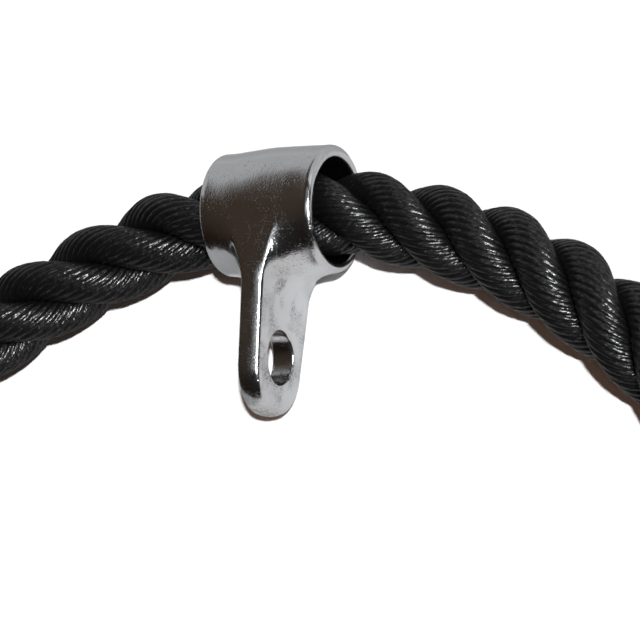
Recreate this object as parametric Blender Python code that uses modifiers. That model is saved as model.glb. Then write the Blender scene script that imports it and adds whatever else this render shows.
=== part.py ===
"""Triceps rope attachment for a cable machine.

One thick laid rope runs through a cast collar with a flat lug, and ends in a moulded stop on each side.
Metres, +Z up. The rope lies in an arch on the plane Z = 0 with the collar at its crown, the lug points
into the arch along -Y, and the origin is the middle of the whole part's footprint.
"""

import math

import bmesh
import bpy
from mathutils import Matrix, Vector

COLLECTION = "triceps_rope_attachment"
CUTTERS = "cutters"

# Clearances
TOUCH_GAP = 0.0003
OVERRUN = 0.002
WELD_DISTANCE = 0.00001

# Rope
ROPE_DIAMETER = 0.030
ROPE_BEVEL_STEPS = 4
ROPE_POINT_SPACING = 0.020
ROPE_END_LAND = 0.003
BEND_LENGTH = 0.050
PAST_COLLAR = 0.004

# Collar, a casting of a sleeve and a lug
COLLAR_LENGTH = 0.0416
BORE_SLACK = 0.0052
COLLAR_WALL = 0.0030
RIM_OUTER_ROUNDING = 0.0016
RIM_INNER_ROUNDING = 0.0009
SLEEVE_SWELL = 0.0014
SLEEVE_SWELL_LEAD = 0.0052
SLEEVE_SWELL_RUN = 0.016
LUG_THICKNESS = 0.0080
LUG_TIP_RADIUS = 0.0162
LUG_HOLE_DIAMETER = 0.018
LUG_HOLE_REACH = 0.0285
LUG_TIP_OFFSET = 0.0033
LUG_FLARE_RADIUS = 0.011
HOLE_CHAMFER = 0.0008

# End stop, moulded rubber, measured from its rope side outwards
STOP_DIAMETER = 0.050
STOP_LENGTH = 0.056
STOP_NECK_WALL = 0.0035
STOP_SWELL_LENGTH = 0.024
STOP_EDGE_ROUNDING = 0.006
STOP_WEB = 0.006
STOP_RECESS_DEPTH = 0.010
STOP_STRAIGHT_RUN = 0.020

# Crimped ferrule round the rope's end
FERRULE_LENGTH = 0.024
FERRULE_WALL = 0.0014
FERRULE_SETBACK = 0.004
FERRULE_LEAD = 0.0015
CRIMP_DEPTH = 0.0005
CRIMP_COUNT = 3

# Fixing that holds the stop to the rope
WASHER_DIAMETER = 0.024
WASHER_THICKNESS = 0.0016
WASHER_PLAY = 0.0015
SCREW_DIAMETER = 0.006
SCREW_REACH = 0.026
SCREW_POINT = 0.005
SCREW_HEAD_FLATS = 0.010
SCREW_HEAD_HEIGHT = 0.004

# How the rope rises off the ground into the collar and into each stop
COLLAR_RISE_RUN = 0.050
STOP_RISE_RUN = 0.110

# Smoothness of round pieces
ROUND_STEPS = 48
FERRULE_STEPS = 36
SMALL_ROUND_STEPS = 24
ARC_STEPS = 4
SWELL_STEPS = 6
SMOOTH_ANGLE = math.radians(35)

# The crown of the arch, at the middle of the collar
CROWN_FORWARD = 0.1005

# The rope's route in plan, chosen by hand, as steps away from the crown to each of its ends
LEFT_ROUTE = [
    (-0.0230, -0.0008), (-0.0455, -0.0049), (-0.0670, -0.0131), (-0.0875, -0.0231), (-0.1075, -0.0351),
    (-0.1265, -0.0477), (-0.1450, -0.0619), (-0.1625, -0.0771), (-0.1790, -0.0934), (-0.1950, -0.1102),
    (-0.2100, -0.1284), (-0.2240, -0.1466), (-0.2385, -0.1648), (-0.2525, -0.1830),
]
RIGHT_ROUTE = [
    (0.0240, 0.0002), (0.0475, -0.0046), (0.0700, -0.0112), (0.0915, -0.0210), (0.1115, -0.0334),
    (0.1300, -0.0475), (0.1475, -0.0638), (0.1635, -0.0815), (0.1790, -0.0998), (0.1940, -0.1186),
    (0.2085, -0.1380), (0.2230, -0.1573), (0.2370, -0.1767), (0.2515, -0.1965),
]
ROUTE_SAMPLES = 24

# Sizes that follow from the ones above
CROWN = Vector((0, CROWN_FORWARD))
ROPE_RADIUS = ROPE_DIAMETER / 2
BORE_RADIUS = (ROPE_DIAMETER + BORE_SLACK) / 2
COLLAR_RADIUS = BORE_RADIUS + COLLAR_WALL
HOLE_RADIUS = LUG_HOLE_DIAMETER / 2
HOLE_DISTANCE = COLLAR_RADIUS + LUG_HOLE_REACH
TIP_DISTANCE = HOLE_DISTANCE + LUG_TIP_OFFSET
LUG_DROOP = math.asin((COLLAR_RADIUS - LUG_TIP_RADIUS) / TIP_DISTANCE)
COLLAR_HEIGHT = COLLAR_RADIUS
ROPE_IN_COLLAR_HEIGHT = COLLAR_WALL + TOUCH_GAP + ROPE_RADIUS
MIDDLE_HALF_LENGTH = COLLAR_LENGTH / 2 + PAST_COLLAR
PIVOT_DISTANCE = MIDDLE_HALF_LENGTH + BEND_LENGTH / 2
ARM_START = MIDDLE_HALF_LENGTH + BEND_LENGTH
STOP_RADIUS = STOP_DIAMETER / 2
STOP_LIP_RADIUS = ROPE_RADIUS + TOUCH_GAP
STOP_NECK_RADIUS = STOP_LIP_RADIUS + STOP_NECK_WALL
FERRULE_INNER_RADIUS = ROPE_RADIUS + TOUCH_GAP
FERRULE_RADIUS = FERRULE_INNER_RADIUS + FERRULE_WALL
STOP_BORE_RADIUS = FERRULE_RADIUS + TOUCH_GAP
STOP_BORE_DEPTH = STOP_LENGTH - STOP_RECESS_DEPTH - STOP_WEB
ROPE_END_DEPTH = STOP_BORE_DEPTH - TOUCH_GAP
FERRULE_TOP = ROPE_END_DEPTH - FERRULE_SETBACK
FERRULE_LOW = FERRULE_TOP - FERRULE_LENGTH
STOP_LIP_LENGTH = FERRULE_LOW - FERRULE_LEAD
WEB_OUTER_DEPTH = STOP_LENGTH - STOP_RECESS_DEPTH
SCREW_HOLE_RADIUS = SCREW_DIAMETER / 2 + TOUCH_GAP
RECESS_RADIUS = WASHER_DIAMETER / 2 + WASHER_PLAY
WASHER_DEPTH = WEB_OUTER_DEPTH + TOUCH_GAP
HEAD_DEPTH = WASHER_DEPTH + WASHER_THICKNESS + TOUCH_GAP
SCREW_TIP_DEPTH = ROPE_END_DEPTH - SCREW_REACH
STRAIGHT_END = ROPE_END_DEPTH + STOP_STRAIGHT_RUN


def clear_scene():
    for obj in list(bpy.data.objects):
        bpy.data.objects.remove(obj, do_unlink=True)


def new_collection(name, hidden=False):
    collection = bpy.data.collections.new(name)
    collection.hide_render = hidden
    bpy.context.scene.collection.children.link(collection)
    return collection


def principled(name, colour, roughness, metallic=0):
    material = bpy.data.materials.new(name)
    material.use_nodes = True
    shader = material.node_tree.nodes["Principled BSDF"]
    shader.inputs["Base Color"].default_value = (*colour, 1)
    shader.inputs["Roughness"].default_value = roughness
    shader.inputs["Metallic"].default_value = metallic
    return material


def place(obj, matrix, pivot=None):
    """Puts an object at a world matrix, on its joint's empty where it has one."""
    obj.matrix_basis = matrix
    if pivot:
        obj.parent = pivot
        obj.matrix_parent_inverse = pivot.matrix_basis.inverted()


def shade_round(mesh):
    mesh.shade_smooth()
    mesh.set_sharp_from_angle(angle=SMOOTH_ANGLE)


def boolean(obj, operation, other):
    modifier = obj.modifiers.new(operation.lower() + "_" + other.name, "BOOLEAN")
    modifier.operation = operation
    modifier.object = other


def as_cutter(obj):
    obj.hide_render = True
    obj.display_type = "WIRE"


def arc(centre, radius, start, end, steps=ARC_STEPS):
    """Points on an arc in a profile's plane, both ends included, with its angles in degrees."""
    points = []
    for step in range(steps + 1):
        angle = math.radians(start + (end - start) * step / steps)
        points.append((centre[0] + radius * math.cos(angle), centre[1] + radius * math.sin(angle)))
    return points


def turned(name, profile, collection, closed=True, steps=ROUND_STEPS):
    """A piece turned about local Z from (radius, height) points, which run down its outer side."""
    mesh = bpy.data.meshes.new(name)
    body = bmesh.new()
    corners = [body.verts.new((radius, 0, height)) for radius, height in profile]
    for first, second in zip(corners, corners[1:]):
        body.edges.new((first, second))
    if closed:
        body.edges.new((corners[-1], corners[0]))
    body.to_mesh(mesh)
    body.free()
    obj = bpy.data.objects.new(name, mesh)
    collection.objects.link(obj)
    screw = obj.modifiers.new("turn", "SCREW")
    screw.axis = "Z"
    screw.steps = screw.render_steps = steps
    screw.use_merge_vertices = True
    screw.merge_threshold = WELD_DISTANCE
    screw.use_smooth_shade = True
    return obj


def curve_mesh(name, curve, collection):
    """Makes a mesh object from a curve's data, with its caps welded to its sides."""
    holder = bpy.data.objects.new(name + "_curve", curve)
    collection.objects.link(holder)
    graph = bpy.context.evaluated_depsgraph_get()
    mesh = bpy.data.meshes.new_from_object(holder.evaluated_get(graph))
    bpy.data.objects.remove(holder, do_unlink=True)
    body = bmesh.new()
    body.from_mesh(mesh)
    bmesh.ops.remove_doubles(body, verts=body.verts, dist=WELD_DISTANCE)
    body.to_mesh(mesh)
    body.free()
    mesh.name = name
    obj = bpy.data.objects.new(name, mesh)
    collection.objects.link(obj)
    return obj


def smooth_route():
    """The rope's line in plan from end to end, as (distance from the crown, point) pairs."""
    hand = [CROWN + Vector(step) for step in reversed(LEFT_ROUTE)]
    crown_index = len(hand)
    hand += [CROWN.copy()] + [CROWN + Vector(step) for step in RIGHT_ROUTE]
    padded = [2 * hand[0] - hand[1], *hand, 2 * hand[-1] - hand[-2]]
    line = []
    for index in range(len(hand) - 1):
        before, start, end, after = padded[index : index + 4]
        for sample in range(ROUTE_SAMPLES):
            share = sample / ROUTE_SAMPLES
            line.append(
                start
                + (end - before) * share / 2
                + (2 * before - 5 * start + 4 * end - after) * share**2 / 2
                + (3 * start - before - 3 * end + after) * share**3 / 2
            )
    line.append(hand[-1])
    distances = [0]
    for first, second in zip(line, line[1:]):
        distances.append(distances[-1] + (second - first).length)
    crown_distance = distances[crown_index * ROUTE_SAMPLES]
    return [(distance - crown_distance, point) for distance, point in zip(distances, line)]


ROUTE = smooth_route()
LEFT_END = ROUTE[0][0]
RIGHT_END = ROUTE[-1][0]


def ease(share):
    share = min(max(share, 0), 1)
    return share * share * (3 - 2 * share)


def height_at(distance):
    """The rope's axis lies on the bore in the collar, on the ground beside it, and climbs into each stop."""
    end = RIGHT_END if distance > 0 else -LEFT_END
    from_collar = abs(distance) - COLLAR_LENGTH / 2
    from_stop = end - abs(distance) - STRAIGHT_END
    collar_lift = (ROPE_IN_COLLAR_HEIGHT - ROPE_RADIUS) * ease(1 - from_collar / COLLAR_RISE_RUN)
    stop_lift = (STOP_RADIUS - ROPE_RADIUS) * ease(1 - from_stop / STOP_RISE_RUN)
    return ROPE_RADIUS + collar_lift + stop_lift


def plan_at(distance):
    """A point of the route in plan, by its distance along the rope from the crown."""
    for (start, first), (end, second) in zip(ROUTE, ROUTE[1:]):
        if distance <= end:
            break
    return first.lerp(second, (distance - start) / (end - start))


def point_at(distance):
    """A point of the rope's axis. The rope follows its route, and runs straight on into each stop."""
    way, end = (-1, LEFT_END) if distance < 0 else (1, RIGHT_END)
    straight_from = abs(end) - STRAIGHT_END
    past = abs(distance) - straight_from
    if past > 0:
        base = plan_at(way * straight_from)
        before = plan_at(way * (straight_from - ROPE_END_LAND))
        plan = base + (base - before).normalized() * past
    else:
        plan = plan_at(distance)
    return Vector((plan.x, plan.y, height_at(distance)))


def direction_at(distance):
    """The way the rope runs at a distance, towards its right end."""
    return (point_at(distance + ROPE_END_LAND) - point_at(distance - ROPE_END_LAND)).normalized()


def rope_points(start, end):
    """A stretch's points: square to the rope at both ends, each half a gap short of its neighbour."""
    first, last = point_at(start), point_at(end)
    first_way, last_way = direction_at(start), direction_at(end)
    points = [first + first_way * TOUCH_GAP / 2, first + first_way * ROPE_END_LAND]
    count = max(round((end - start) / ROPE_POINT_SPACING), 2)
    points += [point_at(start + (end - start) * index / count) for index in range(1, count)]
    points += [last - last_way * ROPE_END_LAND, last - last_way * TOUCH_GAP / 2]
    return points


def rope_curve(name, start, end, origin):
    """A plain tube along a stretch of the rope, with its points given from the origin."""
    curve = bpy.data.curves.new(name, "CURVE")
    curve.dimensions = "3D"
    curve.twist_mode = "Z_UP"
    curve.bevel_depth = ROPE_RADIUS
    curve.bevel_resolution = ROPE_BEVEL_STEPS
    curve.use_fill_caps = True
    points = rope_points(start, end)
    spline = curve.splines.new("POLY")
    spline.points.add(len(points) - 1)
    for point, position in zip(spline.points, points):
        point.co = (*(position - origin), 1)
    return curve


def rope_stretch(name, start, end, material, collection, pivot=None):
    origin = pivot.location if pivot else point_at((start + end) / 2)
    obj = curve_mesh(name, rope_curve(name, start, end, origin), collection)
    obj.data.materials.append(material)
    shade_round(obj.data)
    place(obj, Matrix.Translation(origin), pivot)
    return obj


def lug_outline(name, collection):
    """The lug's plate as a solid: straight sides from the sleeve's round to the tip's arc, thicker than the lug."""
    tilt = math.degrees(LUG_DROOP)
    tip = arc((TIP_DISTANCE, 0), LUG_TIP_RADIUS, -90 + tilt, 90 - tilt, 4 * ARC_STEPS)
    roots = arc((0, 0), COLLAR_RADIUS, 90 - tilt, -90 + tilt, 1)
    outline = tip + roots
    curve = bpy.data.curves.new(name, "CURVE")
    curve.dimensions = "2D"
    curve.fill_mode = "BOTH"
    curve.extrude = LUG_THICKNESS / 2 + LUG_FLARE_RADIUS + OVERRUN
    spline = curve.splines.new("POLY")
    spline.points.add(len(outline) - 1)
    for point, (along, across) in zip(spline.points, outline):
        point.co = (along, across, 0, 1)
    spline.use_cyclic_u = True
    return curve_mesh(name, curve, collection)


def collar_sleeve(collection):
    """The sleeve, turned about local Z with rounded rims. Towards its right end it swells away from the lug."""
    half = COLLAR_LENGTH / 2
    outer, inner = RIM_OUTER_ROUNDING, RIM_INNER_ROUNDING
    top = arc((BORE_RADIUS + inner, half - inner), inner, 180, 90)
    top += arc((COLLAR_RADIUS - outer, half - outer), outer, 90, 0)
    bottom = [(radius, -height) for radius, height in reversed(top)]
    low = -half + outer + SLEEVE_SWELL_LEAD
    shares = [step / ARC_STEPS for step in range(ARC_STEPS + 1)]
    swell = [(COLLAR_RADIUS, low + SLEEVE_SWELL_RUN * share) for share in reversed(shares)]
    sleeve = turned("collar", top + swell + bottom, collection)

    graph = bpy.context.evaluated_depsgraph_get()
    sleeve.data = bpy.data.meshes.new_from_object(sleeve.evaluated_get(graph))
    sleeve.modifiers.clear()
    for vertex in sleeve.data.vertices:
        outside = vertex.co.xy.length > BORE_RADIUS + inner + WELD_DISTANCE
        if outside and vertex.co.x < -WELD_DISTANCE:
            vertex.co.x -= SLEEVE_SWELL * ease((vertex.co.z - low) / SLEEVE_SWELL_RUN)
    return sleeve


def collar_flange(collection):
    """A turned disc with a hollow flare at its root on each face, from which the lug is cut."""
    half = LUG_THICKNESS / 2
    flare = arc((COLLAR_RADIUS + LUG_FLARE_RADIUS, half + LUG_FLARE_RADIUS), LUG_FLARE_RADIUS, 180, 270)
    root = COLLAR_RADIUS - COLLAR_WALL / 2
    rim = TIP_DISTANCE + LUG_TIP_RADIUS + OVERRUN
    top = [(root, flare[0][1]), *flare, (rim, half)]
    return turned("lug_flange", top + [(radius, -height) for radius, height in reversed(top)], collection)


def lug_hole_cutter(collection):
    """A turned plug with a cone at each face for the hole's chamfers."""
    face = LUG_THICKNESS / 2
    wide = HOLE_RADIUS + HOLE_CHAMFER + OVERRUN
    top = [(0, face + OVERRUN), (wide, face + OVERRUN), (HOLE_RADIUS, face - HOLE_CHAMFER)]
    bottom = [(radius, -height) for radius, height in reversed(top)]
    plug = turned("lug_hole", top + bottom, collection, closed=False, steps=SMALL_ROUND_STEPS)
    as_cutter(plug)
    return plug


def build_collar(parts, cutters, material):
    """The casting, modelled about local Z with its lug along local X, then laid along world X, lug to -Y."""
    centre = Vector((CROWN.x, CROWN.y, COLLAR_HEIGHT))
    pivot = bpy.data.objects.new("collar_pivot", None)
    parts.objects.link(pivot)
    pivot.location = centre
    lug_way = Vector((0, -math.cos(LUG_DROOP), -math.sin(LUG_DROOP)))
    along = Vector((1, 0, 0))
    turn = Matrix((lug_way, along.cross(lug_way), along)).transposed().to_4x4()
    laid = Matrix.Translation(centre) @ turn

    collar = collar_sleeve(parts)
    flange = collar_flange(cutters)
    outline = lug_outline("lug_outline", cutters)
    hole = lug_hole_cutter(cutters)
    as_cutter(flange)
    as_cutter(outline)
    boolean(flange, "INTERSECT", outline)
    boolean(collar, "UNION", flange)
    boolean(collar, "DIFFERENCE", hole)
    place(flange, laid)
    place(outline, laid)
    place(hole, laid @ Matrix.Translation((HOLE_DISTANCE, 0, 0)))
    place(collar, laid, pivot)
    collar.data.materials.append(material)


def stop_profile():
    """The moulded stop: a neck that swells to full width, a rounded end, a recess, a web and a stepped bore."""
    swell = []
    for step in range(SWELL_STEPS + 1):
        share = step / SWELL_STEPS
        radius = STOP_NECK_RADIUS + (STOP_RADIUS - STOP_NECK_RADIUS) * ease(share)
        swell.append((radius, STOP_SWELL_LENGTH * share))
    shoulder = (STOP_RADIUS - STOP_EDGE_ROUNDING, STOP_LENGTH - STOP_EDGE_ROUNDING)
    outside = arc(shoulder, STOP_EDGE_ROUNDING, 90, 0) + list(reversed(swell))
    bore = [
        (STOP_LIP_RADIUS, 0),
        (STOP_LIP_RADIUS, STOP_LIP_LENGTH),
        (STOP_BORE_RADIUS, STOP_LIP_LENGTH),
        (STOP_BORE_RADIUS, STOP_BORE_DEPTH),
        (SCREW_HOLE_RADIUS, STOP_BORE_DEPTH),
        (SCREW_HOLE_RADIUS, WEB_OUTER_DEPTH),
        (RECESS_RADIUS, WEB_OUTER_DEPTH),
        (RECESS_RADIUS, STOP_LENGTH),
    ]
    return outside + bore


def ferrule_profile():
    """A thin sleeve with shallow crimps round its outside."""
    pitch = FERRULE_LENGTH / (2 * CRIMP_COUNT + 1)
    outside = [(FERRULE_RADIUS, FERRULE_LOW)]
    for crimp in range(CRIMP_COUNT):
        start = FERRULE_LOW + (2 * crimp + 1) * pitch
        outside.append((FERRULE_RADIUS, start))
        outside.append((FERRULE_RADIUS - CRIMP_DEPTH, start + pitch / 2))
        outside.append((FERRULE_RADIUS, start + pitch))
    outside.append((FERRULE_RADIUS, FERRULE_TOP))
    inside = [(FERRULE_INNER_RADIUS, FERRULE_LOW), (FERRULE_INNER_RADIUS, FERRULE_TOP)]
    return list(reversed(outside)) + inside


def washer_profile():
    top = WASHER_DEPTH + WASHER_THICKNESS
    outer = WASHER_DIAMETER / 2
    return [(SCREW_HOLE_RADIUS, top), (outer, top), (outer, WASHER_DEPTH), (SCREW_HOLE_RADIUS, WASHER_DEPTH)]


def build_screw(name, collection, cutters):
    """A hexagon head on a turned, pointed shank."""
    radius = SCREW_DIAMETER / 2
    neck = HEAD_DEPTH + SCREW_HEAD_HEIGHT / 2
    shank_profile = [(0, neck), (radius, neck), (radius, SCREW_TIP_DEPTH + SCREW_POINT), (0, SCREW_TIP_DEPTH)]
    shank = turned(name + "_shank", shank_profile, cutters, closed=False, steps=SMALL_ROUND_STEPS)
    as_cutter(shank)
    mesh = bpy.data.meshes.new(name)
    body = bmesh.new()
    corner_radius = SCREW_HEAD_FLATS / (2 * math.cos(math.pi / 6))
    bmesh.ops.create_cone(
        body, cap_ends=True, segments=6, radius1=corner_radius, radius2=corner_radius, depth=SCREW_HEAD_HEIGHT
    )
    bmesh.ops.translate(body, verts=body.verts, vec=(0, 0, HEAD_DEPTH + SCREW_HEAD_HEIGHT / 2))
    body.to_mesh(mesh)
    body.free()
    screw = bpy.data.objects.new(name, mesh)
    collection.objects.link(screw)
    boolean(screw, "UNION", shank)
    return screw, shank


def pilot_hole(name, cutters):
    """The hole that the screw's thread fills in the rope's end."""
    low = SCREW_TIP_DEPTH - TOUCH_GAP
    top = ROPE_END_DEPTH + OVERRUN
    profile = [(0, top), (SCREW_HOLE_RADIUS, top), (SCREW_HOLE_RADIUS, low), (0, low)]
    hole = turned(name, profile, cutters, closed=False, steps=SMALL_ROUND_STEPS)
    as_cutter(hole)
    return hole


def build_arm(side, parts, cutters, materials):
    """One side of the rope with its stop, on a pivot in the middle of its bend."""
    way = -1 if side == "left" else 1
    end = LEFT_END if side == "left" else RIGHT_END
    pivot = bpy.data.objects.new(side + "_arm_pivot", None)
    parts.objects.link(pivot)
    pivot.location = point_at(way * PIVOT_DISTANCE)

    bend = sorted((way * MIDDLE_HALF_LENGTH, way * ARM_START))
    rope_stretch(side + "_rope_bend", *bend, materials["rope"], parts, pivot)
    arm = rope_stretch(side + "_rope_arm", *sorted((way * ARM_START, end)), materials["rope"], parts, pivot)

    tip = point_at(end)
    outward = way * direction_at(end - way * ROPE_END_LAND)
    across = Vector((0, 0, 1)).cross(outward).normalized()
    turn = Matrix((across, outward.cross(across), outward)).transposed().to_4x4()
    laid = Matrix.Translation(tip - outward * ROPE_END_DEPTH) @ turn

    stop = turned(side + "_end_stop", stop_profile(), parts)
    stop.data.materials.append(materials["rubber"])
    ferrule = turned(side + "_end_ferrule", ferrule_profile(), parts, steps=FERRULE_STEPS)
    ferrule.data.materials.append(materials["ferrule"])
    washer = turned(side + "_end_washer", washer_profile(), parts, steps=SMALL_ROUND_STEPS)
    washer.data.materials.append(materials["washer"])
    screw, shank = build_screw(side + "_end_screw", parts, cutters)
    screw.data.materials.append(materials["screw"])
    hole = pilot_hole(side + "_pilot_hole", cutters)
    boolean(arm, "DIFFERENCE", hole)
    for obj in (stop, ferrule, washer, screw, shank, hole):
        place(obj, laid, pivot)


def main():
    clear_scene()
    parts = new_collection(COLLECTION)
    cutters = new_collection(CUTTERS, hidden=True)
    materials = {
        "rope": principled("rope_fibre", (0.016, 0.016, 0.018), 0.45),
        "chrome": principled("collar_chrome", (0.62, 0.61, 0.60), 0.14, metallic=1),
        "rubber": principled("stop_rubber", (0.022, 0.022, 0.023), 0.7),
        "ferrule": principled("ferrule_steel", (0.42, 0.42, 0.43), 0.4, metallic=1),
        "washer": principled("washer_zinc", (0.55, 0.55, 0.56), 0.35, metallic=1),
        "screw": principled("screw_zinc", (0.50, 0.51, 0.53), 0.3, metallic=1),
    }
    build_collar(parts, cutters, materials["chrome"])
    rope_stretch("rope_middle", -MIDDLE_HALF_LENGTH, MIDDLE_HALF_LENGTH, materials["rope"], parts)
    for side in ("left", "right"):
        build_arm(side, parts, cutters, materials)
        pivot = bpy.data.objects[side + "_arm_pivot"].location
        print(side, "arm pivot", [round(value, 5) for value in pivot])
    print("rope length", round(RIGHT_END - LEFT_END, 4))


main()
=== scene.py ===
"""The triceps rope attachment as it looks: laid rope, chromed collar, end stops and their fixings, in a studio."""

import math

import bpy
import numpy as np
from bpy.props import FloatProperty, FloatVectorProperty, IntProperty, PointerProperty
from mathutils import Euler, Matrix, Vector


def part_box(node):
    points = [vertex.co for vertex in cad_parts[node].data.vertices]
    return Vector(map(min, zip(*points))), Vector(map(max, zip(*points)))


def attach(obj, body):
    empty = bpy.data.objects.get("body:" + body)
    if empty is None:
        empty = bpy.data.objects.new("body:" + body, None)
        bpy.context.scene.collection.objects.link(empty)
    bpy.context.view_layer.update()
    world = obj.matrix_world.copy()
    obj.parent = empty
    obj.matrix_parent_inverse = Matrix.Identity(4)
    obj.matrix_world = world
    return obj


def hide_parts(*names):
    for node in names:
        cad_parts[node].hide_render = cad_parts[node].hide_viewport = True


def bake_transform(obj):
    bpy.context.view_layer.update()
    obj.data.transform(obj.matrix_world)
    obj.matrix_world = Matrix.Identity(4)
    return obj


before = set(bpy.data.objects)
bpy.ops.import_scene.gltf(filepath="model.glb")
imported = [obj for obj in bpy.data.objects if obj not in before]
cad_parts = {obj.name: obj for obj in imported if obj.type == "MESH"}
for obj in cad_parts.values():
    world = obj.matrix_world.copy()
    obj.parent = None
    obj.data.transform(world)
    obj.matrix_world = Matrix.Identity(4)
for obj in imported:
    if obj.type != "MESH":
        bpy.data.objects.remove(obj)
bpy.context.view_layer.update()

bl_info = {
    "name": "Triceps Rope Attachment",
    "version": (1, 0, 0),
    "blender": (4, 5, 0),
    "location": "3D View > Sidebar > Rope",
    "description": "Builds a thick laid rope in a cast collar, with a moulded stop on each end",
    "category": "Object",
}

# The rope's route in plan, as steps away from the crown of its arch to each of its ends
LEFT_ROUTE = [
    (-0.0230, -0.0008), (-0.0455, -0.0049), (-0.0670, -0.0131), (-0.0875, -0.0231), (-0.1075, -0.0351),
    (-0.1265, -0.0477), (-0.1450, -0.0619), (-0.1625, -0.0771), (-0.1790, -0.0934), (-0.1950, -0.1102),
    (-0.2100, -0.1284), (-0.2240, -0.1466), (-0.2385, -0.1648), (-0.2525, -0.1830),
]
RIGHT_ROUTE = [
    (0.0240, 0.0002), (0.0475, -0.0046), (0.0700, -0.0112), (0.0915, -0.0210), (0.1115, -0.0334),
    (0.1300, -0.0475), (0.1475, -0.0638), (0.1635, -0.0815), (0.1790, -0.0998), (0.1940, -0.1186),
    (0.2085, -0.1380), (0.2230, -0.1573), (0.2370, -0.1767), (0.2515, -0.1965),
]

# How finely the route is sampled between two of its points, and a cord's path from end to end
ROUTE_SAMPLES = 24
CORD_SAMPLES = 80

# The frame's collar: its length, its sleeve's radius, and the middle of its bore, which is the crown of the arch
COLLAR_LOW, COLLAR_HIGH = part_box("collar")
COLLAR_LENGTH = COLLAR_HIGH.x - COLLAR_LOW.x
COLLAR_RADIUS = 0.0206
CROWN = Vector((0, 0.1005, COLLAR_RADIUS))

# Along the rope: the length over which it climbs into the collar, and from the crown, where each arm's bend starts
# and ends and where the rope's pieces meet
COLLAR_RISE_RUN = 0.050
BEND_START = 0.0248
BEND_END = 0.0748
SEAM_DISTANCE = 0.010

# At its ends: the length over which it climbs before a stop, the straight stretch that ends in the stop, and the
# step that feels its direction
STOP_RISE_RUN = 0.110
STRAIGHT_END = 0.0597
END_LAND = 0.003

# Depths inside a stop, from its rope side, its screw's hole, and the gap that touching pieces keep
ROPE_END_DEPTH = 0.0397
BORE_DEPTH = 0.040
WEB_DEPTH = 0.046
SCREW_HOLE_RADIUS = 0.0033
TOUCH_GAP = 0.0003

# The strands' unevenness: drawn in where the rope leaves the collar's right side, and yarns that swell and stray
RANDOM_SEED = 40
DRAWN_IN = 0.06
DRAWN_IN_AT = 0.030
DRAWN_IN_WIDTH = 0.018
SWELL_RINGS = 24
SWELL_SIZE = 0.00009
STRAY_RINGS = 30
STRAY_SIZE = 0.035

# How much of a half circle a yarn's outside shows, a yarn's width, and its length for each length of rope
YARN_ROUNDNESS = 0.94
YARN_WIDTH = 0.0022
YARN_STRETCH = 2.1

# The casting's edges: blend width that rounds one to a radius of 1, and the flare's share where its edges soften
EDGE_BLEND = 1.66
FLARE_EDGE_SHARE = 0.35

# How points are drawn onto the casting: the step that feels its slope, the least slope and the longest move, and
# what keeps a divisor above zero
SLOPE_STEP = 0.00001
LEAST_SLOPE = 0.25
MOST_MOVE = 0.0008
TINY = 1e-6

# The ridge that a stop's mould leaves, how wide it is in radians, and from where on the outside it runs
RIDGE_HEIGHT = 0.0002
RIDGE_WIDTH = 0.022
RIDGE_FROM_RADIUS = 0.0186
RIDGE_FROM_DEPTH = 0.001

# The screw's head from its seat to the dimple in its top, as radii and heights, and half its width across flats,
# how steep its thread's flanks are, and how blunt its point is
HEAD_PROFILE = (
    (0.0055, 0), (0.0058, 0.0002), (0.0058, 0.0033), (0.0050, 0.0039), (0.0044, 0.0040), (0.0012, 0.0038),
)
HALF_FLATS = 0.005
FLANK_STEEPNESS = 2.2
BLUNTNESS = 0.04

# The flaws: a pit's floor, and the ranges of noise over which each kind goes from none to full
PIT_FLOOR = 0.02
PATCH_SCALE = 55
PIT_PATCHES = (1.02, 1.12)
SMUDGE_PATCHES = (0.46, 0.70)
DUST_SCALE = 1500
DUST = (0.40, 0.60, -0.1, 1.4)
GRAIN_PATCHES = (0.40, 0.62, 0.35, 1.3)
WAVE_SCALE = 190

# Chrome: its two sizes of flaws, its colours and roughness, and how much of each flaw its surface shows
CHROME_COARSE = {"Pit Size": 0.15, "Pit Cover": 0.54, "Smudge Scale": 100}
CHROME_FINE = {"Pit Spacing": 1400, "Pit Size": 0.30, "Pit Cover": 0.62, "Grain Scale": 1700}
CHROME_TINT = (0.62, 0.62, 0.62)
CHROME_PIT_COLOUR = (0.10, 0.09, 0.08)
CHROME_SMUDGED = 0.42
CHROME_ROUGHNESS = (0.17, 0.34)
CHROME_COARSE_PITS, CHROME_FINE_PITS, CHROME_GRAIN, CHROME_WAVES = -0.5, -0.5, 0.38, 0.14
CHROME_BUMP = 0.0001

# Where the chrome's smudges begin, in sleeve radii from the bore, how strong they are on the sleeve and on the
# lug, and the lug's two stains, with the reach over which they fade and their speckle
SMUDGES_FROM, SMUDGES_FULL = 1, 1.25
SMUDGES_ON_SLEEVE, SMUDGES_ON_LUG = 0.15, 1.1
STAINS = ((0.0052, 0.0735, 0.0255), (0.0042, 0.0700, 0.0195))
STAIN_REACH, STAIN_CORE = 0.0034, 0.0010
STAIN_SPECKLE = (0.40, 0.62, -0.1, 0.9)

# Each plated fixing's colour, its colours where handled and in pits, its two roughnesses and its smudges' scale
PLATINGS = {
    "washer_zinc": ((0.58, 0.58, 0.60), (0.48, 0.48, 0.49), (0.20, 0.19, 0.18), (0.28, 0.42), 200),
    "screw_zinc": ((0.52, 0.53, 0.55), (0.43, 0.43, 0.45), (0.18, 0.17, 0.16), (0.26, 0.40), 260),
    "ferrule_steel": ((0.42, 0.42, 0.43), (0.33, 0.32, 0.32), (0.12, 0.11, 0.10), (0.36, 0.50), 160),
}
PLATED_GRAIN = 0.3
PLATED_BUMP = 0.00004

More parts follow.
